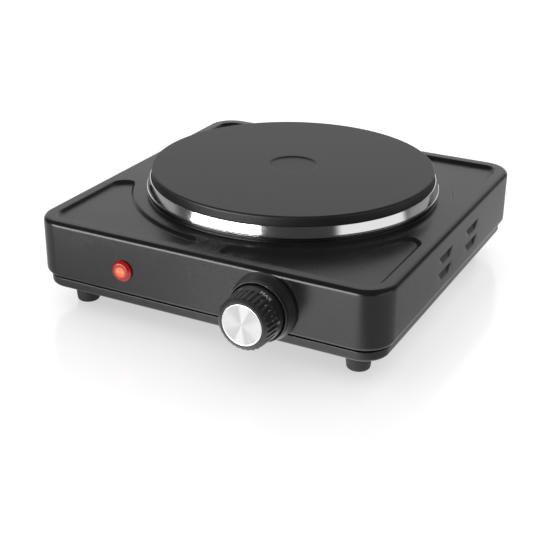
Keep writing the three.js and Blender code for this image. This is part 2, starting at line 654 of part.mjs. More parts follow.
function leads() {
  const low = floorZ + 6;
  const blockFace = blockY - 8 - 0.5;
  const z = floorZ + 7;
  const sideX = knobX - bodyHalfX - 0.5;
  const bodyY = frontY - bodyFront + 12;
  const bottomZ = knobZ - bodyHalfZ + 1.4;
  const tabZ = shieldZ - 2 - 8.5 - 0.4;
  const tabY = plateBack + terminalY;
  place(hotPlate, 'lead_live', wire([[glandX + 10.5, blockFace, z], [glandX + 10.5, blockFace - 12, z - 2],
    [glandX + 25, housingD * 0.1, low], [0, -housingD * 0.15, low], [sideX - 16, bodyY - 6, low + 2],
    [sideX - 6, bodyY, bottomZ], [sideX, bodyY, bottomZ]], leadR, 22), sleeving);
  place(hotPlate, 'lead_neutral', wire([[glandX, blockFace, z], [glandX, blockFace - 14, z],
    [glandX + 8, housingD * 0.02, low + 3], [-terminalX - 20, tabY - 2, tabZ - 10],
    [-terminalX, tabY, tabZ - 8], [-terminalX, tabY, tabZ]], leadR, 20), sleeving);
  const fuseEnd = [fuseX - 8.2, plateBack + fuseY, fuseZ];
  place(hotPlate, 'lead_element', wire([[terminalX, tabY, tabZ], [terminalX, tabY, tabZ - 5],
    [terminalX + 4, tabY + 6, tabZ - 7], [fuseEnd[0] - 5, fuseEnd[1] + 1, fuseZ - 3], fuseEnd],
  leadR, 16), sleeving);
  const rear = frontY - bodyBack;
  place(hotPlate, 'lead_thermostat', wire([[fuseX + 7.8, plateBack + fuseY, fuseZ],
    [fuseX + 13, plateBack + fuseY - 2, fuseZ - 1], [knobX + 9, rear + 22, knobZ + 4],
    [knobX + 9, rear + 8, knobZ + 6.5], [knobX + 9, rear + 0.5, knobZ + 6.8]], leadR, 16), sleeving);
  place(hotPlate, 'lead_pilot', wire([[lampX, frontY + 16.4, lampZ], [lampX, frontY + 24, lampZ],
    [lampX - 8, frontY + 50, lampZ - 10], [glandX - 12, -housingD * 0.05, low],
    [glandX - 10.5, blockFace - 14, z], [glandX - 10.5, blockFace, z]], leadR, 22), sleeving);
  place(hotPlate, 'lead_earth', wire([[glandX - 18.4, blockY, z], [glandX - 21, blockY, z + 3],
    [earthX, earthY + 1, floorZ + 14], [earthX, earthY - 8.6, floorZ + 11.5],
    [earthX, earthY - 8.6, floorZ + 8.4]], leadR, 14), sleeving);
}

housingShell();
baseTray();
for (const sy of [-1, 1]) {
  for (const sx of [-1, 1]) footSet(sx, sy);
}
cookingPlate();
trimRing();
heatingElement();
heaterCovers();
plateTerminals();
clampStack();
const knobAxis = atFront(knobX, knobZ);
knob(knobAxis);
bezel(knobAxis);
thermostat(knobAxis);
pilotLamp(atFront(lampX, lampZ));
cordGland(atBack(glandX, glandZ));
cordClamp();
mainsBlock();
thermalFuse();
leads();

export default hotPlate;
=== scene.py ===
# Electric hot plate: detailed meshes, finishes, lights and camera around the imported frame.
# Sizes in this script are millimetres unless a name says otherwise; the meshes are built in metres.
import json
import math
import bpy
import bmesh
from mathutils import Matrix, Vector
from mathutils.geometry import delaunay_2d_cdt


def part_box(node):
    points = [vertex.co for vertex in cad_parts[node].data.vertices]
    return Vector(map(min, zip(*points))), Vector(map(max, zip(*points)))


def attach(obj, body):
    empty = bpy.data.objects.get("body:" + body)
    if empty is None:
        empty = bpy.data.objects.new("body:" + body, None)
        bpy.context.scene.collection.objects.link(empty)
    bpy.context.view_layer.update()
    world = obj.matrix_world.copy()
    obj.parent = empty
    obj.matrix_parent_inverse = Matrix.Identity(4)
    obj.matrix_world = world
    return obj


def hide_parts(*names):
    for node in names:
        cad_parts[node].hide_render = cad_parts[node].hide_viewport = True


mm = 0.001
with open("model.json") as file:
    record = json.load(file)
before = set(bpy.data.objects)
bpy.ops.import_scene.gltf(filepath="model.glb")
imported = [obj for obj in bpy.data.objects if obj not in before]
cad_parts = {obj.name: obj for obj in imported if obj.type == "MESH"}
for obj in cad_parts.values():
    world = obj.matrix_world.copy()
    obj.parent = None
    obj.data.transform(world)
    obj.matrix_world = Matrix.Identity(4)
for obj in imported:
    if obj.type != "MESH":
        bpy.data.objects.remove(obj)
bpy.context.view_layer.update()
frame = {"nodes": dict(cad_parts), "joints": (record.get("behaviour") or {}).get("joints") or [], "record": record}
print("frame in:", len(frame["nodes"]), "pieces")


def span(node):
    low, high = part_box(node)
    return [v / mm for v in low], [v / mm for v in high]


def middle(node):
    low, high = span(node)
    return [(a + b) / 2 for a, b in zip(low, high)]


# The camera, turned about the object.
cameraSet = {
    "azimuth": 26.97,        # degrees to the right of straight ahead
    "elevation": 25.07,
    "roll": 0.67,
    "distance": 758.8,
    "target": (0, 10.8, 35),
    "slide": (-8.09, -33.74),    # of the aim, right and up in the picture
    "lens": 74.52,
}


def addCamera():
    az = math.radians(cameraSet["azimuth"])
    el = math.radians(cameraSet["elevation"])
    back = Vector((math.sin(az) * math.cos(el), -math.cos(az) * math.cos(el), math.sin(el)))
    right = (-back).cross(Vector((0, 0, 1))).normalized()
    up = back.cross(right)
    slideRight, slideUp = cameraSet["slide"]
    aim = Vector(cameraSet["target"]) + right * slideRight + up * slideUp
    tilt = math.radians(cameraSet["roll"])
    turnedRight = right * math.cos(tilt) + up * math.sin(tilt)
    turnedUp = up * math.cos(tilt) - right * math.sin(tilt)
    axes = Matrix((turnedRight, turnedUp, back)).transposed().to_4x4()
    data = bpy.data.cameras.new("camera")
    data.lens = cameraSet["lens"]
    data.clip_start = 0.01
    camera = bpy.data.objects.new("camera", data)
    camera.matrix_world = Matrix.Translation((aim + back * cameraSet["distance"]) * mm) @ axes
    bpy.context.scene.collection.objects.link(camera)
    bpy.context.scene.camera = camera


addCamera()
print("camera set")


# Sums of shader nodes.
class Signal:                    # a node's output that works in Python sums
    def __init__(self, nodes, socket):
        self.nodes = nodes
        self.socket = socket

    def math(self, operation, *inputs):
        values = dict(enumerate(inputs))
        return self.nodes.add("ShaderNodeMath", {"operation": operation}, values)

    def __add__(self, other):
        return self.math("ADD", self, other)

    def __radd__(self, other):
        return self.math("ADD", other, self)

    def __sub__(self, other):
        return self.math("SUBTRACT", self, other)

    def __rsub__(self, other):
        return self.math("SUBTRACT", other, self)

    def __mul__(self, other):
        return self.math("MULTIPLY", self, other)

    def __rmul__(self, other):
        return self.math("MULTIPLY", other, self)

    def __truediv__(self, other):
        return self.math("DIVIDE", self, other)

    def sine(self):
        return self.math("SINE", self)

    def ramp(self, low, high, start=0.0, end=1.0):       # eases from start to end between low and high
        return self.nodes.add("ShaderNodeMapRange", {"interpolation_type": "SMOOTHSTEP"},
                              {0: self, 1: low, 2: high, 3: start, 4: end})


class Nodes:                     # the nodes of one material or of the world
    def __init__(self, owner):
        owner.use_nodes = True
        self.owner = owner
        self.tree = owner.node_tree
        self.tree.nodes.clear()

    def add(self, kind, settings, inputs, output=0):
        node = self.tree.nodes.new(kind)
        for key, value in settings.items():
            setattr(node, key, value)
        for key, value in inputs.items():
            if isinstance(value, Signal):
                self.tree.links.new(value.socket, node.inputs[key])
            else:
                node.inputs[key].default_value = value
        return Signal(self, node.outputs[output]) if node.outputs else node

    def spot(self):              # the place on the piece, in metres
        return self.add("ShaderNodeTexCoord", {}, {}, "Object")

    def parts(self, vector):
        return [self.add("ShaderNodeSeparateXYZ", {}, {0: vector}, axis) for axis in "XYZ"]

    def noise(self, where, scale, detail=2.0, roughness=0.5):
        return self.add("ShaderNodeTexNoise", {}, {"Vector": where, "Scale": scale, "Detail": detail,
                                                   "Roughness": roughness})

    def stretch(self, where, factors):
        return self.add("ShaderNodeVectorMath", {"operation": "MULTIPLY"}, {0: where, 1: factors})

    def mix(self, factor, first, second):
        return self.add("ShaderNodeMix", {"data_type": "RGBA"}, {0: factor, 6: first, 7: second}, 2)

    def offAxis(self, where, point, along):      # distance from a line through the point, in metres
        shifted = self.add("ShaderNodeVectorMath", {"operation": "SUBTRACT"}, {0: where, 1: point})
        flat = self.stretch(shifted, tuple(0.0 if i == along else 1.0 for i in range(3)))
        return self.add("ShaderNodeVectorMath", {"operation": "LENGTH"}, {0: flat}, "Value")

    def bump(self, height, strength, distance, under=None):
        inputs = {"Height": height, "Strength": strength, "Distance": distance}
        if under:
            inputs["Normal"] = under
        return self.add("ShaderNodeBump", {}, inputs)

    def surface(self, inputs):
        shader = self.add("ShaderNodeBsdfPrincipled", {}, inputs)
        self.add("ShaderNodeOutputMaterial", {}, {"Surface": shader})
        return self.owner


def newLook(name):
    return Nodes(bpy.data.materials.new(name))


def rgb(red, green=None, blue=None):
    return (red, red if green is None else green, red if blue is None else blue, 1.0)


# Finishes.
jointPoint = Vector(next(j["pos_m"] for j in frame["joints"] if j["name"] == "knob_turn"))
plateMid = Vector(middle("trim_ring")) * mm


def paint(name, dark, light, gloss):
    look = newLook(name)
    spot = look.spot()
    cloud = look.noise(spot, 22, 3)
    peel = look.noise(spot, 520, 2)
    grain = look.noise(spot, 2600, 3, 0.6)
    tone = look.mix(cloud.ramp(0.3, 0.7) * 0.7 + grain * 0.3, rgb(dark), rgb(light))
    rough = gloss + 0.07 * cloud.ramp(0.25, 0.75) + 0.1 * (grain - 0.5)
    fine = look.bump(grain, 0.12, 0.00006)
    normal = look.bump(peel, 0.10, 0.0001, fine)
    return look.surface({"Base Color": tone, "Roughness": rough, "Normal": normal, "IOR": 1.5})


def castIron():
    look = newLook("cast iron, coated")
    spot = look.spot()
    radius = look.offAxis(spot, plateMid, 2)
    wobble = look.noise(spot, 40, 2)
    turned = (radius * 9000 + wobble * 3).sine()             # the lathe's fine rings
    speck = look.noise(spot, 3200, 3, 0.7)
    cloud = look.noise(spot, 16, 4, 0.55)
    base = look.mix(cloud.ramp(0.3, 0.72), rgb(0.008), rgb(0.013, 0.013, 0.0125))
    flecks = look.mix(speck.ramp(0.62, 0.8) * 0.6, base, rgb(0.035, 0.034, 0.032))
    rough = 0.40 + 0.08 * cloud + 0.08 * (speck - 0.5)
    rings = look.bump(turned, 0.10, 0.00004)
    normal = look.bump(speck, 0.28, 0.00009, rings)
    return look.surface({"Base Color": flecks, "Roughness": rough, "Normal": normal})


def brightSteel(name, tint, gloss, around, along, brushed):
    look = newLook(name)
    spot = look.spot()
    radius = look.offAxis(spot, around, along)
    height = look.parts(spot)[along]
    ladder = look.add("ShaderNodeCombineXYZ", {}, {0: radius, 1: height, 2: 0.0})
    lines = look.noise(ladder, brushed, 3, 0.6)
    smudge = look.noise(spot, 60, 3)
    tone = look.mix(lines, rgb(*[v * 0.9 for v in tint]), rgb(*tint))
    rough = gloss + 0.06 * (lines - 0.4) + 0.03 * smudge
    normal = look.bump(lines, 0.06, 0.00004)
    return look.surface({"Base Color": tone, "Metallic": 1.0, "Roughness": rough, "Normal": normal})


paintedCapFan = {                       # painted highlight: the bright wedges that a spun face shows, painted into its own colour
    "lean": 8,                   # degrees
    "wedge": (0.84, 0.99),
    "crossWedge": (0.45, 1.0),
    "crossShare": 0.4,
    "dark": 0.37,
    "light": 0.50,
}


def spunCap():
    look = newLook("aluminium, spun, painted highlight")
    spot = look.spot()
    radius = look.offAxis(spot, (0.0, 0.0, 0.0), 2)
    rings = (radius * 62000).sine()
    drift = look.noise(spot, 300, 2)
    x, y, z = look.parts(spot)
    lean = math.radians(paintedCapFan["lean"])
    along = (x * math.sin(lean) + y * math.cos(lean)) / radius
    across = (x * math.cos(lean) - y * math.sin(lean)) / radius
    cross = (across * across).ramp(*paintedCapFan["crossWedge"])
    # painted highlight: bright wedges by angle about the cap's own axis go into its colour, so they turn with the
    # knob
    paintedFan = (along * along).ramp(*paintedCapFan["wedge"]) + paintedCapFan["crossShare"] * cross
    tone = look.mix(paintedFan, rgb(paintedCapFan["dark"]), rgb(paintedCapFan["light"]))
    rough = 0.18 + 0.05 * drift + 0.02 * rings
    normal = look.bump(rings, 0.02, 0.00002)
    return look.surface({"Base Color": tone, "Metallic": 1.0, "Roughness": rough, "Normal": normal,
                         "Anisotropic": 0.5})


def moulded(name, dark, light, gloss, grainBump):
    look = newLook(name)
    spot = look.spot()
    grain = look.noise(spot, 2400, 3, 0.6)
    cloud = look.noise(spot, 45, 2)
    tone = look.mix(cloud, rgb(dark), rgb(light))
    rough = gloss + 0.12 * (grain - 0.5) + 0.05 * cloud
    normal = look.bump(grain, grainBump, 0.00005)
    return look.surface({"Base Color": tone, "Roughness": rough, "Normal": normal})


def plated(name, tint, gloss, mottleScale):
    look = newLook(name)
    spot = look.spot()
    mottle = look.noise(spot, mottleScale, 4, 0.6)
    fine = look.noise(spot, 1500, 2)
    tone = look.mix(mottle.ramp(0.35, 0.68), rgb(*[v * 0.72 for v in tint]), rgb(*tint))
    rough = gloss + 0.16 * mottle + 0.08 * (fine - 0.5)
    normal = look.bump(fine, 0.1, 0.00004)
    return look.surface({"Base Color": tone, "Metallic": 1.0, "Roughness": rough, "Normal": normal})


def unglazed(name):
    look = newLook(name)
    spot = look.spot()
    cloud = look.noise(spot, 120, 4)
    pits = look.noise(spot, 1300, 2)
    tone = look.mix(cloud, rgb(0.62, 0.55, 0.44), rgb(0.82, 0.77, 0.66))
    normal = look.bump(pits, 0.25, 0.0001)
    return look.surface({"Base Color": tone, "Roughness": 0.6 + 0.25 * pits, "Normal": normal})


def sleeve():
    look = newLook("glass sleeving, woven")
    x, y, z = look.parts(look.spot())
    weave = ((x + y) * 9000).sine() * ((x - y + z) * 9000).sine()
    tone = look.mix(weave * 0.5 + 0.5, rgb(0.5, 0.48, 0.44), rgb(0.8, 0.78, 0.72))
    normal = look.bump(weave, 0.5, 0.0001)
    return look.surface({"Base Color": tone, "Roughness": 0.75 + 0.1 * weave, "Normal": normal})


def glassTube():
    look = newLook("neon glass")
    glow = look.noise(look.spot(), 400, 2)
    tone = look.mix(glow, rgb(0.9, 0.5, 0.3), rgb(1.0, 0.62, 0.4))
    return look.surface({"Base Color": tone, "Roughness": 0.05 + 0.05 * glow,
                         "Emission Color": look.mix(glow, rgb(1.0, 0.2, 0.05), rgb(1.0, 0.35, 0.1)),
                         "Emission Strength": 1.5})


def ink():
    look = newLook("dial ink")
    grain = look.noise(look.spot(), 1800, 3)
    tone = look.mix(grain.ramp(0.3, 0.6), rgb(0.24), rgb(0.34))
    return look.surface({"Base Color": tone, "Roughness": 0.45 + 0.2 * grain})


lampMid = Vector(middle("pilot_lens")) * mm
lensReach = Vector((lampMid.x, span("pilot_lens")[0][1] * mm, lampMid.z))


def redLens():
    look = newLook("red lens, lit")
    spot = look.spot()
    radius = look.offAxis(spot, lensReach, 1) / mm
    shimmer = look.noise(spot, 900, 2)
    core = radius.ramp(1.2, 4.6, 1.0, 0.0)
    hot = core * (0.55 + 0.8 * shimmer.ramp(0.35, 0.7))
    tone = look.mix(core, rgb(0.42, 0.004, 0.004), rgb(0.9, 0.12, 0.02))
    glow = look.mix(hot, rgb(0.05, 0.001, 0.001), rgb(0.85, 0.16, 0.02))
    rough = 0.13 + 0.05 * shimmer
    return look.surface({"Base Color": tone, "Roughness": rough, "Coat Weight": 0.15,
                         "Emission Color": glow, "Emission Strength": 0.8})


looks = {
    "housing_paint": paint("satin black paint", 0.007, 0.011, 0.22),
    "tray_paint": paint("satin black paint, tray", 0.008, 0.012, 0.26),
    "cast_iron": castIron(),
    "stainless": brightSteel("stainless, bright", (0.80, 0.80, 0.79), 0.09, plateMid, 2, 2600),
    "knob_plastic": moulded("black plastic, satin", 0.007, 0.011, 0.38, 0.10),
    "inner_plastic": moulded("black plastic, matte", 0.020, 0.028, 0.55, 0.2),
    "spun_aluminium": spunCap(),
    "foot_rubber": moulded("rubber", 0.012, 0.02, 0.7, 0.3),
    "red_lens": redLens(),
    "neon_glass": glassTube(),
    "zinc_steel": plated("zinc plated steel", (0.62, 0.62, 0.60), 0.26, 160),
    "ceramic": unglazed("steatite"),
    "brass": plated("brass", (0.76, 0.58, 0.28), 0.22, 220),
    "lead_sleeving": sleeve(),
}
inkLook = ink()
print("finishes made:", len(looks) + 1)


def dressFrame():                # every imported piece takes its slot's finish
    for part in frame["record"]["subparts"]:
        node = frame["nodes"][part["node"]]
        look = looks[part["material_slot"]]
        if not node.material_slots:
            node.data.materials.append(look)
        for slot in node.material_slots:
            slot.material = look


dressFrame()


# Mesh tools.
class Surface:                   # points in millimetres and the faces between them
    def __init__(self):
        self.points = []
        self.faces = []

    def add(self, points, faces):
        start = len(self.points)
        self.points += [tuple(p) for p in points]
        self.faces += [tuple(start + i for i in face) for face in faces]

    def bridge(self, rings, around=True, ends=False):        # quads between rings of equal length
        count = len(rings[0])
        faces = []
        steps = count if around else count - 1
        rows = len(rings) if ends else len(rings) - 1
        for j in range(rows):
            k = (j + 1) % len(rings)
            for i in range(steps):
                n = (i + 1) % count
                faces.append((j * count + i, j * count + n, k * count + n, k * count + i))
        self.add([p for ring in rings for p in ring], faces)

    def fill(self, outlines, keep, lift):                    # triangles over flat outlines of [u, v]
        points = []
        edges = []
        for outline in outlines:
            start = len(points)
            points += [Vector(p) for p in outline]
            edges += [(start + i, start + (i + 1) % len(outline)) for i in range(len(outline))]
        made = delaunay_2d_cdt(points, edges, [], 0, 1e-6)
        faces = []
        for face in made[2]:
            a, b, c = [made[0][i] for i in face]
            middlePoint = (a + b + c) / 3
            if abs((b - a).cross(c - a)) > 1e-4 and keep(middlePoint.x, middlePoint.y):
                faces.append(face)
        self.add([lift(p.x, p.y) for p in made[0]], faces)

    def build(self, name):
        mesh = bmesh.new()
        made = [mesh.verts.new([v * mm for v in p]) for p in self.points]
        for face in self.faces:
            corners = [made[i] for i in dict.fromkeys(face)]
            if len(corners) > 2 and not mesh.faces.get(corners):
                mesh.faces.new(corners)
        bmesh.ops.remove_doubles(mesh, verts=mesh.verts, dist=4e-6)
        bmesh.ops.delete(mesh, geom=[v for v in mesh.verts if not v.link_faces], context="VERTS")
        bmesh.ops.dissolve_degenerate(mesh, edges=mesh.edges, dist=1e-6)
        bmesh.ops.recalc_face_normals(mesh, faces=mesh.faces)
        for face in mesh.faces:
            face.smooth = True
        for edge in mesh.edges:      # a hole's rim keeps its own shading
            edge.smooth = not edge.is_boundary
        data = bpy.data.meshes.new(name)
        mesh.to_mesh(data)
        mesh.free()
        piece = bpy.data.objects.new(name, data)
        bpy.context.scene.collection.objects.link(piece)
        return piece


def soften(corners, closed, steps=5):        # rounds the corners that give a radius
    points = []
    count = len(corners)
    for i, corner in enumerate(corners):
        here = Vector(corner[:2])
        end = not closed and i in (0, count - 1)
        if len(corner) < 3 or end:
            points.append(tuple(here))
            continue
        back = Vector(corners[i - 1][:2]) - here
        ahead = Vector(corners[(i + 1) % count][:2]) - here
        half = back.angle(ahead) / 2
        reach = min(corner[2] / math.tan(half), 0.49 * back.length, 0.49 * ahead.length)
        radius = reach * math.tan(half)
        centre = here + (back.normalized() + ahead.normalized()).normalized() * radius / math.sin(half)
        first = here + back.normalized() * reach - centre
        last = here + ahead.normalized() * reach - centre
        sweep = math.pi - 2 * half
        for k in range(steps + 1):
            t = k / steps
            turned = first * math.sin((1 - t) * sweep) + last * math.sin(t * sweep)
            points.append(tuple(centre + turned / math.sin(sweep)))
    return points


def lathe(surface, profile, at, segments):   # turns a profile of [radius, height] about an axis
    onAxis = [p[0] < 1e-6 for p in profile]
    rings = []
    for radius, height in profile:
        turns = [2 * math.pi * i / segments for i in range(segments)]
        rings.append([at(max(radius, 0), height, a) for a in turns])
    surface.bridge(rings, ends=not (onAxis[0] and onAxis[-1]))


def lathed(name, profile, at, segments):
    surface = Surface()
    lathe(surface, profile, at, segments)
    return surface.build(name)


def upright(centreX, centreY):
    return lambda r, h, a: (centreX + r * math.cos(a), centreY + r * math.sin(a), h)


def facing(axisX, faceY, axisZ, side=-1):    # angle runs clockwise from the top, seen from outside
    return lambda r, h, a: (axisX - side * r * math.sin(a), faceY + side * h, axisZ + r * math.cos(a))


def smoothNormals(piece):
    modifier = piece.modifiers.new("even normals", "WEIGHTED_NORMAL")
    modifier.weight = 60
    modifier.keep_sharp = True


def thicken(piece, thickness):
    modifier = piece.modifiers.new("sheet", "SOLIDIFY")
    modifier.thickness = thickness * mm
    modifier.offset = -1
    modifier.use_even_offset = True


def settle(piece, slot, body, *nodes, look=None):
    piece.data.materials.append(look or looks[slot])
    smoothNormals(piece)
    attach(piece, body)
    if nodes:
        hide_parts(*nodes)


def circle(x, y, radius, count):
    return [(x + radius * math.cos(2 * math.pi * i / count), y + radius * math.sin(2 * math.pi * i / count))
            for i in range(count)]


def within(outline, u, v):
    inside = False
    for (x0, y0), (x1, y1) in zip(outline, outline[1:] + outline[:1]):
        if (y0 > v) != (y1 > v) and u < x0 + (v - y0) / (y1 - y0) * (x1 - x0):
            inside = not inside
    return inside


def ease(t):
    t = min(max(t, 0.0), 1.0)
    return t * t * (3 - 2 * t)


# The housing's pressing.
houseLow, houseHigh = span("housing_shell")
ringLow, ringHigh = span("trim_ring")
house = {
    "halfX": (houseHigh[0] - houseLow[0]) / 2,
    "halfY": (houseHigh[1] - houseLow[1]) / 2,
    "midY": (houseHigh[1] + houseLow[1]) / 2,
    "plateY": (ringHigh[1] + ringLow[1]) / 2,
    "lipZ": houseLow[2],
    "topZ": houseHigh[2] - 3,
    "cornerR": 18.5,
    "edgeR": 3.2,
    "lipIn": 1.2,
    "sheet": 0.9,
    "collarR": 95.2,
    "collarFoot": 1.2,           # its rounding into the panel
    "collarH": 3,
    "openingR": 91,
    "collarSteps": 192,
    "shaftHole": 5.3,
    "lampHole": 5.3,
    "glandHole": 6.8,
    "cornerSteps": 16,
    "sideSteps": 16,
}
pocket = {
    "depth": 2.2,
    "side": 8,                   # its edge from the housing's side faces
    "front": 8.5,                # and from the front and back faces
    "land": 8.6,                 # level land between collar and pockets
    "sideLand": 35.4,            # half length of the level land at each side
    "sideLandY": 0.9,
    "frontLand": 9,
    "slope": 2.9,                # width of the sloped edge
    "levels": 8,
    "step": 1.7,                 # point spacing along the edge
    "outerRound": 10,            # rounding of the corner by the side land
    "innerRound": 4,
}
louvre = {
    "topHalf": 12.5,
    "bottomHalf": 6.9,
    "height": 6.4,
    "deep": 2.6,
    "midY": 4.4,
    "pitchY": 49.5,
    "pitchZ": 10.6,
    "drop": 11.9,                # upper row's top edge below the housing's top
    "endShare": 0.32,
    "rounding": 0.15,            # share of the height that curves
    "columns": 26,
    "rows": 8,
}


def houseOutline(inset, z):      # rounded rectangle, each corner's arc then the side after it
    radius = max(house["cornerR"] - inset, 0.5)
    halfX = house["halfX"] - inset - radius
    halfY = house["halfY"] - inset - radius
    signs = [(1, 1), (-1, 1), (-1, -1), (1, -1)]
    arcs = []
    for k, (sx, sy) in enumerate(signs):
        arc = []
        for i in range(house["cornerSteps"] + 1):
            a = (k + i / house["cornerSteps"]) * math.pi / 2
            arc.append((sx * halfX + radius * math.cos(a), sy * halfY + radius * math.sin(a)))
        arcs.append(arc)
    points = []
    for k, arc in enumerate(arcs):
        points += arc
        start, end = Vector(arc[-1]), Vector(arcs[(k + 1) % 4][0])
        for i in range(1, house["sideSteps"]):
            points.append(tuple(start.lerp(end, i / house["sideSteps"])))
    return [(x, y + house["midY"], z) for x, y in points]


def roundedMeet(a, b, radius):   # the meeting of two fields, with its corner rounded
    outside = math.hypot(max(a + radius, 0), max(b + radius, 0))
    return min(-radius, max(a, b)) + outside


def pocketField(x, y):           # below zero inside a pocket, in millimetres from its edge
    x = abs(x)
    ahead = y - house["midY"]
    radius = house["cornerR"] - pocket["side"]
    overX = x - (house["halfX"] - pocket["side"] - radius)
    overY = abs(ahead) - (house["halfY"] - pocket["front"] - radius)
    frameEdge = math.hypot(max(overX, 0), max(overY, 0)) + min(max(overX, overY), 0) - radius
    arc = house["collarR"] + pocket["land"] - math.hypot(x, y - house["plateY"])
    sideLand = pocket["sideLand"] - abs(ahead - pocket["sideLandY"])
    frontLand = pocket["frontLand"] - x
    outer = roundedMeet(frameEdge, sideLand, pocket["outerRound"])
    inner = roundedMeet(arc, frontLand, pocket["innerRound"])
    return roundedMeet(outer, inner, pocket["innerRound"])


def slopeToLine(x, y, level):    # moves a point onto a level of the field
    for _ in range(3):
        here = pocketField(x, y)
        gradX = (pocketField(x + 0.01, y) - here) / 0.01
        gradY = (pocketField(x, y + 0.01) - here) / 0.01
        steep = max(gradX * gradX + gradY * gradY, 0.05)
        x -= (here - level) * gradX / steep
        y -= (here - level) * gradY / steep
    return x, y


def contour(level, values, xs, ys):          # closed lines where the field passes the level
    links = {}
    where = {}
    for j in range(len(ys) - 1):
        for i in range(len(xs) - 1):
            cell = [(i, j), (i + 1, j), (i + 1, j + 1), (i, j + 1)]
            cuts = []
            for a, b in zip(cell, cell[1:] + cell[:1]):
                first, second = min(a, b), max(a, b)
                u, v = values[first] - level, values[second] - level
                if (u < 0) != (v < 0):
                    t = u / (u - v)
                    where[first, second] = (xs[first[0]] + t * (xs[second[0]] - xs[first[0]]),
                                            ys[first[1]] + t * (ys[second[1]] - ys[first[1]]))
                    cuts.append((first, second))
            for a, b in zip(cuts[::2], cuts[1::2]):
                links.setdefault(a, []).append(b)
                links.setdefault(b, []).append(a)
    lines = []
    while links:
        start = min(links)
        line = [start]
        here = links.pop(start)[0]
        last = start
        while here != start:
            line.append(here)
            onward = links.pop(here)
            last, here = here, onward[0] if onward[0] != last else onward[1]
        lines.append([where[key] for key in line])
    return lines


def spaced(line, step):          # the same closed line with evenly spaced points
    lengths = [math.dist(a, b) for a, b in zip(line, line[1:] + line[:1])]
    count = max(8, round(sum(lengths) / step))
    gap = sum(lengths) / count
    points = []
    travelled = 0.0
    for (a, b), length in zip(zip(line, line[1:] + line[:1]), lengths):
        while len(points) < count and len(points) * gap <= travelled + length:
            t = (len(points) * gap - travelled) / max(length, 1e-9)
            points.append((a[0] + t * (b[0] - a[0]), a[1] + t * (b[1] - a[1])))
        travelled += length
    return points


def pocketLines():               # the contours of all four pockets, each with its level
    grid = 1.25
    lines = []
    for high in (False, True):
        startY = house["midY"] + (0 if high else -house["halfY"])
        xs = [i * grid for i in range(int(house["halfX"] / grid) + 1)]
        ys = [startY + j * grid for j in range(int(house["halfY"] / grid) + 1)]
        values = {(i, j): pocketField(x, y) for i, x in enumerate(xs) for j, y in enumerate(ys)}
        for k in range(pocket["levels"] + 1):
            level = -pocket["slope"] * k / pocket["levels"]
            for line in contour(level, values, xs, ys):
                if len(line) < 12:
                    continue
                even = [slopeToLine(x, y, level) for x, y in spaced(line, pocket["step"])]
                lines.append(even)
                lines.append([(-x, y) for x, y in reversed(even)])
    return lines


def pocketDrop(x, y):
    return pocket["depth"] * ease(-pocketField(x, y) / pocket["slope"])


def topPanel(surface):
    border = [(x, y) for x, y, z in houseOutline(house["edgeR"], 0)]
    footR = house["collarR"] + house["collarFoot"]
    hole = circle(0, house["plateY"], footR, house["collarSteps"])
    keep = lambda x, y: math.hypot(x, y - house["plateY"]) > footR
    lift = lambda x, y: (x, y, house["topZ"] - pocketDrop(x, y))
    surface.fill([border, hole, *pocketLines()], keep, lift)
    top = house["topZ"] + house["collarH"]
    profile = soften([(footR, house["topZ"]), (house["collarR"], house["topZ"], house["collarFoot"]),
                      (house["collarR"], top, 1.0), (house["openingR"], top, 0.6),
                      (house["openingR"], top - 2)], False)
    at = upright(0, house["plateY"])
    turns = [2 * math.pi * i / house["collarSteps"] for i in range(house["collarSteps"])]
    surface.bridge([[at(r, h, a) for a in turns] for r, h in profile])


def louvreGrid(side, y, z1):     # a scoop's own sheet: u along the housing, v up, w inward
    rounding = louvre["rounding"]
    rings = []
    for j in range(louvre["rows"] + 1):
        t = j / louvre["rows"]
        half = louvre["bottomHalf"] + (louvre["topHalf"] - louvre["bottomHalf"]) * t
        z = z1 - louvre["height"] * (1 - t)
        rise = t * t / (2 * rounding) if t < rounding else t - rounding / 2
        ring = []
        for i in range(louvre["columns"] + 1):
            a = 2 * i / louvre["columns"] - 1
            deep = louvre["deep"] * rise / (1 - rounding / 2) * ease((1 - abs(a)) / louvre["endShare"])
            ring.append((side * (house["halfX"] - deep), y + a * half, z))
        rings.append(ring)
    return rings


def wallHoles(k):                # outlines of the holes in one wall, in [u, z], and the scoops
    if k == 2:
        lampX, lampZ = lampMid.x / mm, lampMid.z / mm
        knobX, knobZ = jointPoint.x / mm, jointPoint.z / mm
        return [circle(knobX, knobZ, house["shaftHole"], 48), circle(lampX, lampZ, house["lampHole"], 48)], []
    if k == 0:
        gland = middle("cord_gland")
        return [circle(gland[0], gland[2], house["glandHole"], 48)], []
    side = 1 if k == 3 else -1
    holes = []
    scoops = []
    for column in (-0.5, 0.5):
        for row in (0, 1):
            y = house["midY"] + louvre["midY"] + column * louvre["pitchY"]
            z1 = house["topZ"] - louvre["drop"] - row * louvre["pitchZ"]
            grid = louvreGrid(side, y, z1)
            left = [(p[0][1], p[0][2]) for p in grid]
            right = [(p[-1][1], p[-1][2]) for p in reversed(grid)]
            bottom = [(p[1], p[2]) for p in reversed(grid[0][1:-1])]
            holes.append(left + right + bottom)
            scoops.append(grid)
    return holes, scoops


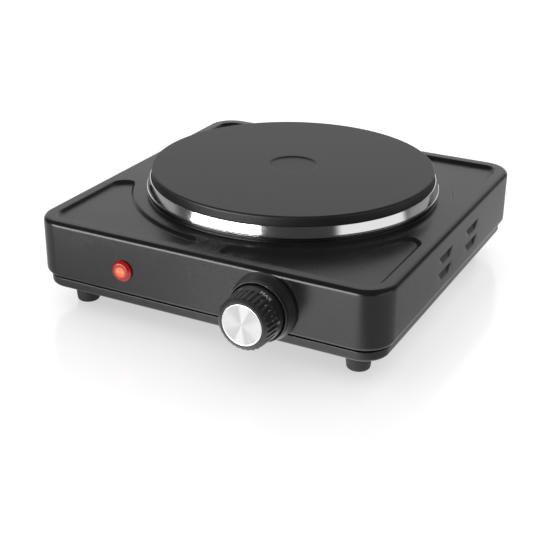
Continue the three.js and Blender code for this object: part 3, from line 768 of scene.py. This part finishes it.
def walls(surface):
    high = houseOutline(0, house["topZ"] - house["edgeR"])
    low = houseOutline(0, house["lipZ"] + house["edgeR"])
    perSide = house["cornerSteps"] + house["sideSteps"]
    for k in range(4):
        first = k * perSide
        arc = range(first, first + house["cornerSteps"] + 1)
        surface.bridge([[low[i] for i in arc], [high[i] for i in arc]], around=False)
        side = [i % len(low) for i in range(first + house["cornerSteps"], first + perSide + 1)]
        flatAxis = 1 if k in (0, 2) else 0       # the coordinate that stays the same on this wall
        along = 1 - flatAxis
        fixed = low[side[0]][flatAxis]
        border = [(low[i][along], low[i][2]) for i in side]
        border += [(high[i][along], high[i][2]) for i in reversed(side)]
        holes, scoops = wallHoles(k)
        keep = lambda u, v: not any(within(hole, u, v) for hole in holes)
        lift = lambda u, v: (u, fixed, v) if flatAxis == 1 else (fixed, u, v)
        surface.fill([border, *holes], keep, lift)
        for grid in scoops:
            surface.bridge(grid, around=False)


def edgeRings(z, towards, steps=8):          # a rounded edge from the wall's face inwards
    rings = []
    for i in range(steps + 1):
        a = i / steps * math.pi / 2
        inset = house["edgeR"] * (1 - math.cos(a))
        rings.append(houseOutline(inset, z + towards * house["edgeR"] * math.sin(a)))
    return rings


def housing():
    surface = Surface()
    topPanel(surface)
    surface.bridge(edgeRings(house["topZ"] - house["edgeR"], 1))
    walls(surface)
    curl = edgeRings(house["lipZ"] + house["edgeR"], -1)
    surface.bridge(curl + [houseOutline(house["edgeR"] + house["lipIn"], house["lipZ"])])
    piece = surface.build("housing_pressing")
    top = max(piece.data.polygons, key=lambda f: f.area if abs(f.normal.z) > 0.9 else 0)
    if top.normal.z < 0:
        piece.data.flip_normals()
    thicken(piece, house["sheet"])
    settle(piece, "housing_paint", "base", "housing_shell")


housing()
print("housing pressed")


# The base tray.
trayLow, trayHigh = span("base_tray")
tray = {
    "inset": 2.8,
    "bottom": trayLow[2],
    "band": 6.4,                 # 0.6 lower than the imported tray's, so that the seam shows dark
    "top": trayHigh[2],
    "neckInset": 4.9,
    "edgeTop": 0.5,
    "edgeBottom": 2.2,
    "sheet": 0.9,
    "footBore": 2.3,
    "earthBore": 1.9,
    "slotHalf": (13, 2),
    "slotPitch": 11,
    "slotX": 34,
}


footNames = ("front_left", "front_right", "rear_left", "rear_right")


def slotOutline(x, y):
    halfLong, radius = tray["slotHalf"]
    points = []
    for sign in (1, -1):
        for i in range(13):
            a = -math.pi / 2 + math.pi * i / 12
            points.append((x + sign * (halfLong + radius * math.cos(a)), y + sign * radius * math.sin(a)))
    return points


def trayPiece():
    surface = Surface()
    bandTop = tray["bottom"] + tray["band"]
    section = soften([(tray["neckInset"], tray["top"]), (tray["neckInset"], bandTop, 0.8),
                      (tray["inset"], bandTop, tray["edgeTop"]),
                      (tray["inset"], tray["bottom"], tray["edgeBottom"]),
                      (tray["inset"] + 6, tray["bottom"])], False)
    surface.bridge([houseOutline(inset, z) for inset, z in section])
    border = [(x, y) for x, y, z in houseOutline(tray["inset"] + 6, 0)]
    holes = [slotOutline(sx * tray["slotX"], house["plateY"] + i * tray["slotPitch"])
             for sx in (-1, 1) for i in range(-2, 3)]
    for name in footNames:
        x, y, z = middle("foot_" + name)
        holes.append(circle(x, y, tray["footBore"], 24))
    x, y, z = middle("earth_screw")
    holes.append(circle(x, y, tray["earthBore"], 24))
    keep = lambda u, v: not any(within(hole, u, v) for hole in holes)
    surface.fill([border, *holes], keep, lambda u, v: (u, v, tray["bottom"]))
    piece = surface.build("base_pressing")
    floor = max(piece.data.polygons, key=lambda f: f.area if abs(f.normal.z) > 0.9 else 0)
    if floor.normal.z > 0:
        piece.data.flip_normals()
    thicken(piece, tray["sheet"])
    settle(piece, "tray_paint", "base", "base_tray")


trayPiece()


# The feet.
foot = {
    "radius": 7.5,
    "bore": 3.7,
    "screwBore": 2.3,
    "seat": 8.1,
}


def feet():
    for name in footNames:
        low, high = span("foot_" + name)
        x, y = (low[0] + high[0]) / 2, (low[1] + high[1]) / 2
        radius = foot["radius"]
        profile = soften([(foot["bore"], low[2], 0.5), (radius - 0.5, low[2], 2.0),
                          (radius, low[2] + 6, 3), (radius, high[2], 0.5), (foot["screwBore"], high[2]),
                          (foot["screwBore"], foot["seat"]), (foot["bore"], foot["seat"])], True)
        piece = lathed("rubber_foot_" + name, profile, upright(x, y), 64)
        settle(piece, "foot_rubber", "base", "foot_" + name)


feet()
print("tray and feet made")


# The cooking plate.
plateLow, plateHigh = span("cast_iron_plate")
plate = {
    "radius": (plateHigh[0] - plateLow[0]) / 2,
    "top": plateHigh[2],
    "bottom": plateLow[2],
    "edge": 11.5,
    "rimStep": 2,
    "rim": 4.5,
    "recess": 15.9,
    "recessDepth": 0.8,
    "web": 8.2,
    "bossR": 24,
    "bossEnd": 1.5,              # boss face above the plate's lowest edge
}


def cookingPlate():
    top = plate["top"]
    radius = plate["radius"]
    step = top - plate["edge"]
    inner = radius - plate["rimStep"] - plate["rim"]
    boss = plate["bottom"] + plate["bossEnd"]
    profile = soften([
        (0, top - plate["recessDepth"]), (plate["recess"] - 1.1, top - plate["recessDepth"], 1.2),
        (plate["recess"], top, 1.8), (radius, top, 1.4), (radius, step, 0.5),
        (radius - plate["rimStep"], step, 0.5),
        (radius - plate["rimStep"], plate["bottom"], 0.4), (inner, plate["bottom"], 0.4),
        (inner, top - plate["web"], 1.0), (plate["bossR"], top - plate["web"], 1.0),
        (plate["bossR"], boss, 0.6), (3.3, boss, 0.3), (3.3, top - 3.5), (0, top - 3.5)], False)
    piece = lathed("iron_plate", profile, upright(0, house["plateY"]), 256)
    settle(piece, "cast_iron", "base", "cast_iron_plate")


cookingPlate()


# The ring round the plate.
ring = {
    "foot": ringLow[2],
    "top": ringHigh[2],
    "inner": plate["radius"] + 0.3,
    "lip": (ringHigh[0] - ringLow[0]) / 2,
    "sheet": 0.8,
}


def trimRing():
    foot, top, inner, lip = ring["foot"], ring["top"], ring["inner"], ring["lip"]
    profile = soften([
        (house["openingR"], foot), (lip + 0.2, foot, 0.25), (lip + 0.2, foot + 0.5, 0.22),
        (lip - 0.3, foot + 0.9, 1.0), (inner + 0.8, top, 0.4), (inner + 0.02, top, 0.4), (inner, top - 1.2),
        (inner + 0.5, foot + 2.2, 0.6), (inner + 0.9, foot + ring["sheet"], 0.5),
        (house["openingR"], foot + ring["sheet"])], True)
    piece = lathed("bright_ring", profile, upright(0, house["plateY"]), 256)
    settle(piece, "stainless", "base", "trim_ring")


trimRing()
print("plate and ring turned")


# The knob.
capLow = span("knob_cap")[0]
faceY = houseLow[1]
knob = {
    "x": jointPoint.x / mm,
    "z": jointPoint.z / mm,
    "reach": faceY - capLow[1],
    "back": 2.6,
    "skirtR": 16.95,
    "skirtEnd": 11.6,
    "gripR": 15.87,
    "chamfer": 1.9,
    "capR": 12.5,
    "capT": 1.6,
    "gap": 0.3,
    "flutes": 30,
    "fluteHalf": 1.15,
    "fluteDeep": 0.62,
    "fluteL": 9.2,
    "perFlute": 12,
    "fluteFrom": 13.0,           # flutes lie beyond this radius, in an outer band
    "fluteBand": 3.2,
}
knobAt = facing(knob["x"], faceY, knob["z"])


def skirtRadius(proud):          # the knob's side, tapering from the skirt to the grip
    t = (proud - knob["skirtEnd"]) / (knob["reach"] - knob["chamfer"] - knob["skirtEnd"])
    return knob["skirtR"] + (knob["gripR"] - knob["skirtR"]) * min(max(t, 0), 1)


def fluteCut(proud, angle, radius):
    start = knob["reach"] - knob["chamfer"] - knob["fluteL"]
    into = proud - start
    if into <= 0 or radius < knob["capR"] + 0.9:
        return 0.0
    half = knob["fluteHalf"]
    width = half * math.sqrt(1 - (1 - min(into / half, 1)) ** 2)
    pitch = 2 * math.pi / knob["flutes"]
    offset = (angle / pitch - math.floor(angle / pitch) - 0.5) * pitch * radius
    share = 1 - (offset / max(width, 1e-6)) ** 2
    return knob["fluteDeep"] * (width / half) * ease(max(share, 0.0) * 1.1)


def knobProfile():
    front = knob["reach"] - 0.2
    seat = knob["reach"] - knob["capT"] - knob["gap"]
    capWell = knob["capR"] + knob["gap"]
    side = soften([(knob["skirtR"] + 0.15, knob["back"]), (knob["skirtR"], knob["skirtEnd"], 6),
                   (knob["gripR"], knob["reach"] - knob["chamfer"], 0.5),
                   (capWell + 0.7, front, 0.35), (capWell, front, 0.2)], False, 4)
    dense = []
    for (r0, p0), (r1, p1) in zip(side, side[1:]):
        count = max(1, round(math.hypot(r1 - r0, p1 - p0) / 0.45))
        dense += [(r0 + (r1 - r0) * i / count, p0 + (p1 - p0) * i / count) for i in range(count)]
    inside = [(capWell, front), (capWell, seat), (0, seat)]
    behind = [(0, seat - 3), (3.3, seat - 3), (3.3, knob["back"] + 0.6), (5.4, knob["back"] + 0.6),
              (5.4, seat - 1.8), (knob["gripR"] - 2.2, seat - 1.8), (knob["skirtR"] - 1.4, knob["back"])]
    return behind + dense + inside


def knobBody():
    count = knob["flutes"] * knob["perFlute"]
    rings = []
    for radius, proud in knobProfile():
        band = max(knob["fluteFrom"], skirtRadius(proud) - knob["fluteBand"])
        outer = radius > band and proud > knob["back"]
        points = []
        for i in range(count):
            a = 2 * math.pi * (i + 0.5) / count
            cut = fluteCut(proud, a, radius) if outer else 0.0
            points.append(knobAt(min(radius, skirtRadius(proud) - cut) if outer else radius, proud, a))
        rings.append(points)
    surface = Surface()
    surface.bridge(rings)
    settle(surface.build("knob_grip"), "knob_plastic", "knob", "knob_body")


def knobCap():
    seat = knob["reach"] - knob["capT"]
    reach, edge = knob["reach"], knob["capR"]
    profile = soften([(0, seat), (edge, seat, 0.1), (edge, reach - 0.12, 0.1), (edge - 0.45, reach, 0.25),
                      (edge - 0.9, reach - 0.1, 0.2), (0, reach - 0.1)], False)
    piece = lathed("knob_disc", profile, upright(0, 0), 128)     # its own axis leads the spun finish and the painted highlight
    outward = Matrix.Rotation(math.pi / 2, 4, "X")
    piece.matrix_world = Matrix.Translation(Vector((knob["x"], faceY, knob["z"])) * mm) @ outward
    settle(piece, "spun_aluminium", "knob", "knob_cap")


knobBody()
knobCap()


# The bezel behind the knob.
bezelLow, bezelHigh = span("knob_bezel")
bezel = {
    "radius": (bezelHigh[0] - bezelLow[0]) / 2,
    "bore": 17.7,
    "height": faceY - bezelLow[1],
    "lapBack": bezelHigh[1] - faceY,
    "gap": 0.3,
    "lipIn": 2.2,
    "lapSteps": 48,
}


def bezelRing():
    radius, height = bezel["radius"], bezel["height"]
    lipR = radius - bezel["lipIn"]
    profile = soften([
        (bezel["bore"], bezel["gap"]), (radius, bezel["gap"], 0.4), (radius - 0.1, 2.2, 2),
        (lipR + 0.35, height - 2.2, 2), (lipR + 0.1, height, 0.4), (bezel["bore"], height, 0.25)], True)
    surface = Surface()
    lathe(surface, profile, knobAt, 192)
    drop = knob["z"] - house["lipZ"] + bezel["gap"]
    reach = math.acos(drop / bezel["radius"])
    rings = []
    for i in range(bezel["lapSteps"] + 1):       # the part that laps down over the seam
        a = math.pi + reach * (2 * i / bezel["lapSteps"] - 1)
        inner = max(bezel["bore"], drop / -math.cos(a))
        corners = [(inner, -bezel["lapBack"]), (radius, -bezel["lapBack"]), (radius, 0.8), (inner, 0.8)]
        rings.append([knobAt(r, h, a) for r, h in corners])
    surface.bridge(rings)
    settle(surface.build("bezel_ring"), "knob_plastic", "base", "knob_bezel")


bezelRing()
print("knob and bezel made")


# The dial's print.
dial = {
    "words": [("MAX", 30, 14.7, 2.5), ("0", 89, 15.3, 2.4)],     # text, degrees, distance proud, height
    "ticks": [42.6, 55, 67, 77],
    "tickAt": 20.6,
    "tickSize": (0.3, 1.3),
    "dot": (30, 20.0, 0.45),
    "dash": (-27, 15.0, 1.9, 0.45),
    "thick": 0.06,
}


def bendToSkirt(mesh, degrees, proud):       # x runs clockwise round the knob, y towards the panel
    for step in range(-30, 31):
        geometry = mesh.verts[:] + mesh.edges[:] + mesh.faces[:]
        bmesh.ops.bisect_plane(mesh, geom=geometry, plane_co=(step * 0.4, 0, 0), plane_no=(1, 0, 0))
    for vert in mesh.verts:
        out = proud - vert.co.y
        radius = skirtRadius(out) + dial["thick"]
        angle = math.radians(degrees) + vert.co.x / radius
        vert.co = Vector(knobAt(radius, out, angle)) * mm


def wordMesh(word, height):
    curve = bpy.data.curves.new("word", "FONT")
    curve.body = word
    curve.size = height * 1.4
    curve.align_x = "CENTER"
    curve.align_y = "CENTER"
    curve.space_character = 1.05
    holder = bpy.data.objects.new("word", curve)
    bpy.context.scene.collection.objects.link(holder)
    bpy.context.view_layer.update()
    data = bpy.data.meshes.new_from_object(holder.evaluated_get(bpy.context.evaluated_depsgraph_get()))
    mesh = bmesh.new()
    mesh.from_mesh(data)
    bpy.data.objects.remove(holder)
    bpy.data.meshes.remove(data)
    return mesh


def barMesh(width, height):
    mesh = bmesh.new()
    corners = [(-width / 2, -height / 2), (width / 2, -height / 2), (width / 2, height / 2),
               (-width / 2, height / 2)]
    mesh.faces.new([mesh.verts.new((x, y, 0)) for x, y in corners])
    return mesh


def dialPrint():
    marks = [(wordMesh(word, height), degrees, proud) for word, degrees, proud, height in dial["words"]]
    marks += [(barMesh(*dial["tickSize"]), degrees, dial["tickAt"]) for degrees in dial["ticks"]]
    dotDegrees, dotAt, dotSize = dial["dot"]
    marks.append((barMesh(dotSize, dotSize), dotDegrees, dotAt))
    dashDegrees, dashAt, dashWide, dashLong = dial["dash"]
    marks.append((barMesh(dashWide, dashLong), dashDegrees, dashAt))
    whole = bmesh.new()
    for mesh, degrees, proud in marks:
        bendToSkirt(mesh, degrees, proud)
        part = bpy.data.meshes.new("mark")
        mesh.to_mesh(part)
        mesh.free()
        whole.from_mesh(part)
        bpy.data.meshes.remove(part)
    data = bpy.data.meshes.new("dial_print")
    whole.to_mesh(data)
    whole.free()
    piece = bpy.data.objects.new("dial_print", data)
    bpy.context.scene.collection.objects.link(piece)
    thicken(piece, dial["thick"])
    piece.data.materials.append(inkLook)
    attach(piece, "knob")


pointer = {                      # the fixed mark on the bezel's lip
    "at": 18.5,                  # degrees
    "half": 2.1,
    "inset": 0.35,
    "sunk": 0.2,
    "thick": 0.06,
}


def bezelMark():
    surface = Surface()
    lip = bezel["radius"] - bezel["lipIn"]
    half = math.radians(pointer["half"])
    middleAngle = math.radians(pointer["at"])
    rings = []
    for i in range(7):
        a = middleAngle + half * (i / 3 - 1)
        low, high = bezel["height"] - pointer["sunk"], bezel["height"] + pointer["thick"]
        inner, outer = lip - pointer["inset"], lip + 0.02
        corners = [(inner, low), (outer, low), (outer, high), (inner, high)]
        rings.append([knobAt(r, h, a) for r, h in corners])
    surface.bridge(rings)
    surface.faces += [(0, 1, 2, 3), (27, 26, 25, 24)]
    settle(surface.build("pointer_mark"), "knob_plastic", "base", look=inkLook)


dialPrint()
bezelMark()
print("dial printed")


# The pilot lamp.
lensLow, lensHigh = span("pilot_lens")
lens = {
    "radius": 6.7,
    "reach": faceY - lensLow[1],
    "barrel": 5,
    "barrelBack": lensHigh[1] - faceY,
    "facets": 12,
    "facetDeep": 0.09,
    "facetR": 5.2,
    "facetRow": 2.6,             # radius where the second row of facets starts
    "crown": 0.7,                # the faceted height
}


def pilotLens():
    radius, reach = lens["radius"], lens["reach"]
    barrel, back = lens["barrel"], -lens["barrelBack"]
    outer = soften([(0, reach), (radius - 1.5, reach - 0.1, 1.5), (radius, reach - 1.6, 1.0),
                    (radius, 0.3, 0.2), (barrel, 0.3), (barrel, back), (barrel - 1, back),
                    (barrel - 1, 0.6, 0.4), (0, 1.2)], False)
    dense = []
    for (r0, p0), (r1, p1) in zip(outer, outer[1:]):
        count = max(1, round(math.hypot(r1 - r0, p1 - p0) / 0.5))
        dense += [(r0 + (r1 - r0) * i / count, p0 + (p1 - p0) * i / count) for i in range(count)]
    dense.append(outer[-1])
    at = facing(lampMid.x / mm, faceY, lampMid.z / mm)

    def cutFace(r, h, a):        # shallow kite facets over the crown
        if h < reach - lens["crown"] or r < 0.01:
            return at(r, h, a)
        wave = math.cos(a * lens["facets"] + (math.pi if r > lens["facetRow"] else 0))
        bulge = math.sin(math.pi * min(r / lens["facetR"], 1))
        return at(r, h - lens["facetDeep"] * (1 - wave) * bulge, a)

    piece = lathed("lamp_lens", dense, cutFace, lens["facets"] * 8)
    settle(piece, "red_lens", "base", "pilot_lens")


pilotLens()


# The cord gland.
glandLow, glandHigh = span("cord_gland")
gland = {
    "neck": 6.5,
    "bore": 4,
    "reach": glandHigh[1] - houseHigh[1],
    "inside": houseHigh[1] - glandLow[1],
    "flange": 9,
    "inner": 8.5,
}


def cordGland():
    reach, inside = gland["reach"], gland["inside"]
    bore, inner, neck, flange = gland["bore"], gland["inner"], gland["neck"], gland["flange"]
    profile = soften([
        (bore, -inside, 0.3), (inner, -inside, 0.3), (inner, -1.3), (neck, -1.3), (neck, 0.3),
        (flange, 0.3, 0.2), (flange, 2, 0.5), (neck, 2.5, 0.5), (neck - 0.3, 3.6, 0.2),
        (neck - 0.9, 3.8, 0.1), (neck - 0.9, 4.3, 0.1), (neck - 0.3, 4.5, 0.2), (neck - 0.8, reach, 0.6),
        (bore, reach, 0.5)], True, 4)
    x, y, z = middle("cord_gland")
    piece = lathed("gland_ring", profile, facing(x, houseHigh[1], z, 1), 96)
    settle(piece, "inner_plastic", "base", "cord_gland")


cordGland()
print("lamp and gland made")


# Floor, lights and surroundings.
room = {
    "floorHalf": 4000,
    "dark": 0.05,                # the room away from the lights
    "back": 0.83,                # pale wall behind, up to half height
    "backAzimuth": 207,
    "backHalf": 44,              # half width, in degrees
    "side": 1.7,                 # low white card at the right
    "sideAzimuth": 90,
    "sideHalf": 27,
    "backdrop": 1.0,             # what shows above the floor's far edge
    "backTop": (0.62, 0.82),
    "sideTop": (0.22, 0.36),
    "floorTone": (0.49, 0.51),
    "floorGlow": 0.55,
    "sheenMost": 1.5,            # the floor's glow as the object mirrors it, from left to right
    "sheenLeft": (-0.15, 0.05, 0.12, 1.4),
    "sheenRight": (0.09, 0.14, 1.0, 0.05),
}
# name, azimuth and elevation in degrees, distance, size, glow, whether it is a card
lamps = [
    ("front card", -25, 8, 1500, (1500, 430), 11, True),
    ("ceiling", 0, 90, 2000, (8000, 8000), 1.15, False),
]


def addFloor():
    half = room["floorHalf"]
    steps = 8
    surface = Surface()
    rows = []
    for j in range(steps + 1):
        y = half * (2 * j / steps - 1)
        rows.append([(half * (2 * i / steps - 1), y, 0) for i in range(steps + 1)])
    surface.bridge(rows, around=False)
    floor = surface.build("floor")
    if floor.data.polygons[0].normal.z < 0:
        floor.data.flip_normals()
    look = newLook("pale floor")
    cloud = look.noise(look.spot(), 3, 2)
    tone = look.mix(cloud, *[rgb(v) for v in room["floorTone"]])
    x = look.parts(look.spot())[0]
    sheen = x.ramp(*room["sheenLeft"]) * x.ramp(*room["sheenRight"])
    mirrored = look.add("ShaderNodeLightPath", {}, {}, "Is Glossy Ray")
    most = room["sheenMost"]
    shown = look.mix(sheen / most, rgb(0.0), rgb(most))
    glow = look.mix(mirrored, rgb(room["floorGlow"]), shown)
    floor.data.materials.append(look.surface({"Base Color": tone, "Roughness": 0.14 + 0.04 * cloud,
                                              "Emission Color": glow, "Emission Strength": 1.0,
                                              "IOR": 1.7}))


def addWorld():
    world = bpy.data.worlds.new("studio")
    bpy.context.scene.world = world
    sky = Nodes(world)
    x, y, z = sky.parts(sky.add("ShaderNodeTexCoord", {}, {}, "Generated"))
    flat = sky.add("ShaderNodeCombineXYZ", {}, {0: x, 1: y, 2: 0.0})
    heading = sky.add("ShaderNodeVectorMath", {"operation": "NORMALIZE"}, {0: flat})

    def sector(azimuth, half, blur):
        a = math.radians(azimuth)
        aim = (math.sin(a), -math.cos(a), 0.0)
        towards = sky.add("ShaderNodeVectorMath", {"operation": "DOT_PRODUCT"}, {0: heading, 1: aim}, "Value")
        return towards.ramp(math.cos(math.radians(half + blur)), math.cos(math.radians(half - blur)))

    back = sector(room["backAzimuth"], room["backHalf"], 10) * z.ramp(*room["backTop"], 1.0, 0.0)
    side = sector(room["sideAzimuth"], room["sideHalf"], 6) * z.ramp(*room["sideTop"], 1.0, 0.0)
    level = room["dark"] + back * (room["back"] - room["dark"]) + side * (room["side"] - room["dark"])
    seen = sky.add("ShaderNodeLightPath", {}, {}, "Is Camera Ray")
    tone = sky.mix(seen, sky.mix(level, rgb(0.0), rgb(1.0)), rgb(room["backdrop"]))
    glow = sky.add("ShaderNodeBackground", {}, {"Color": tone, "Strength": 1.0})
    sky.add("ShaderNodeOutputWorld", {}, {"Surface": glow})


def addSoftbox(name, azimuth, elevation, distance, size, glow, card):
    data = bpy.data.lights.new(name, "AREA")
    data.shape = "RECTANGLE"
    data.size, data.size_y = [v * mm for v in size]
    data.energy = glow * math.pi * data.size * data.size_y       # glow is its brightness to the eye
    light = bpy.data.objects.new(name, data)
    az, el = math.radians(azimuth), math.radians(elevation)
    way = Vector((math.sin(az) * math.cos(el), -math.cos(az) * math.cos(el), math.sin(el)))
    light.rotation_euler = way.to_track_quat("Z", "Y").to_euler()
    light.location = (Vector(cameraSet["target"]) + way * distance) * mm
    light.visible_camera = False
    light.visible_glossy = card      # a card only shows in reflections, any other only lights matt surfaces
    light.visible_diffuse = not card
    bpy.context.scene.collection.objects.link(light)


addFloor()
addWorld()
for lamp in lamps:
    addSoftbox(*lamp)
bpy.context.scene.view_settings.view_transform = "Standard"
print("studio lit")
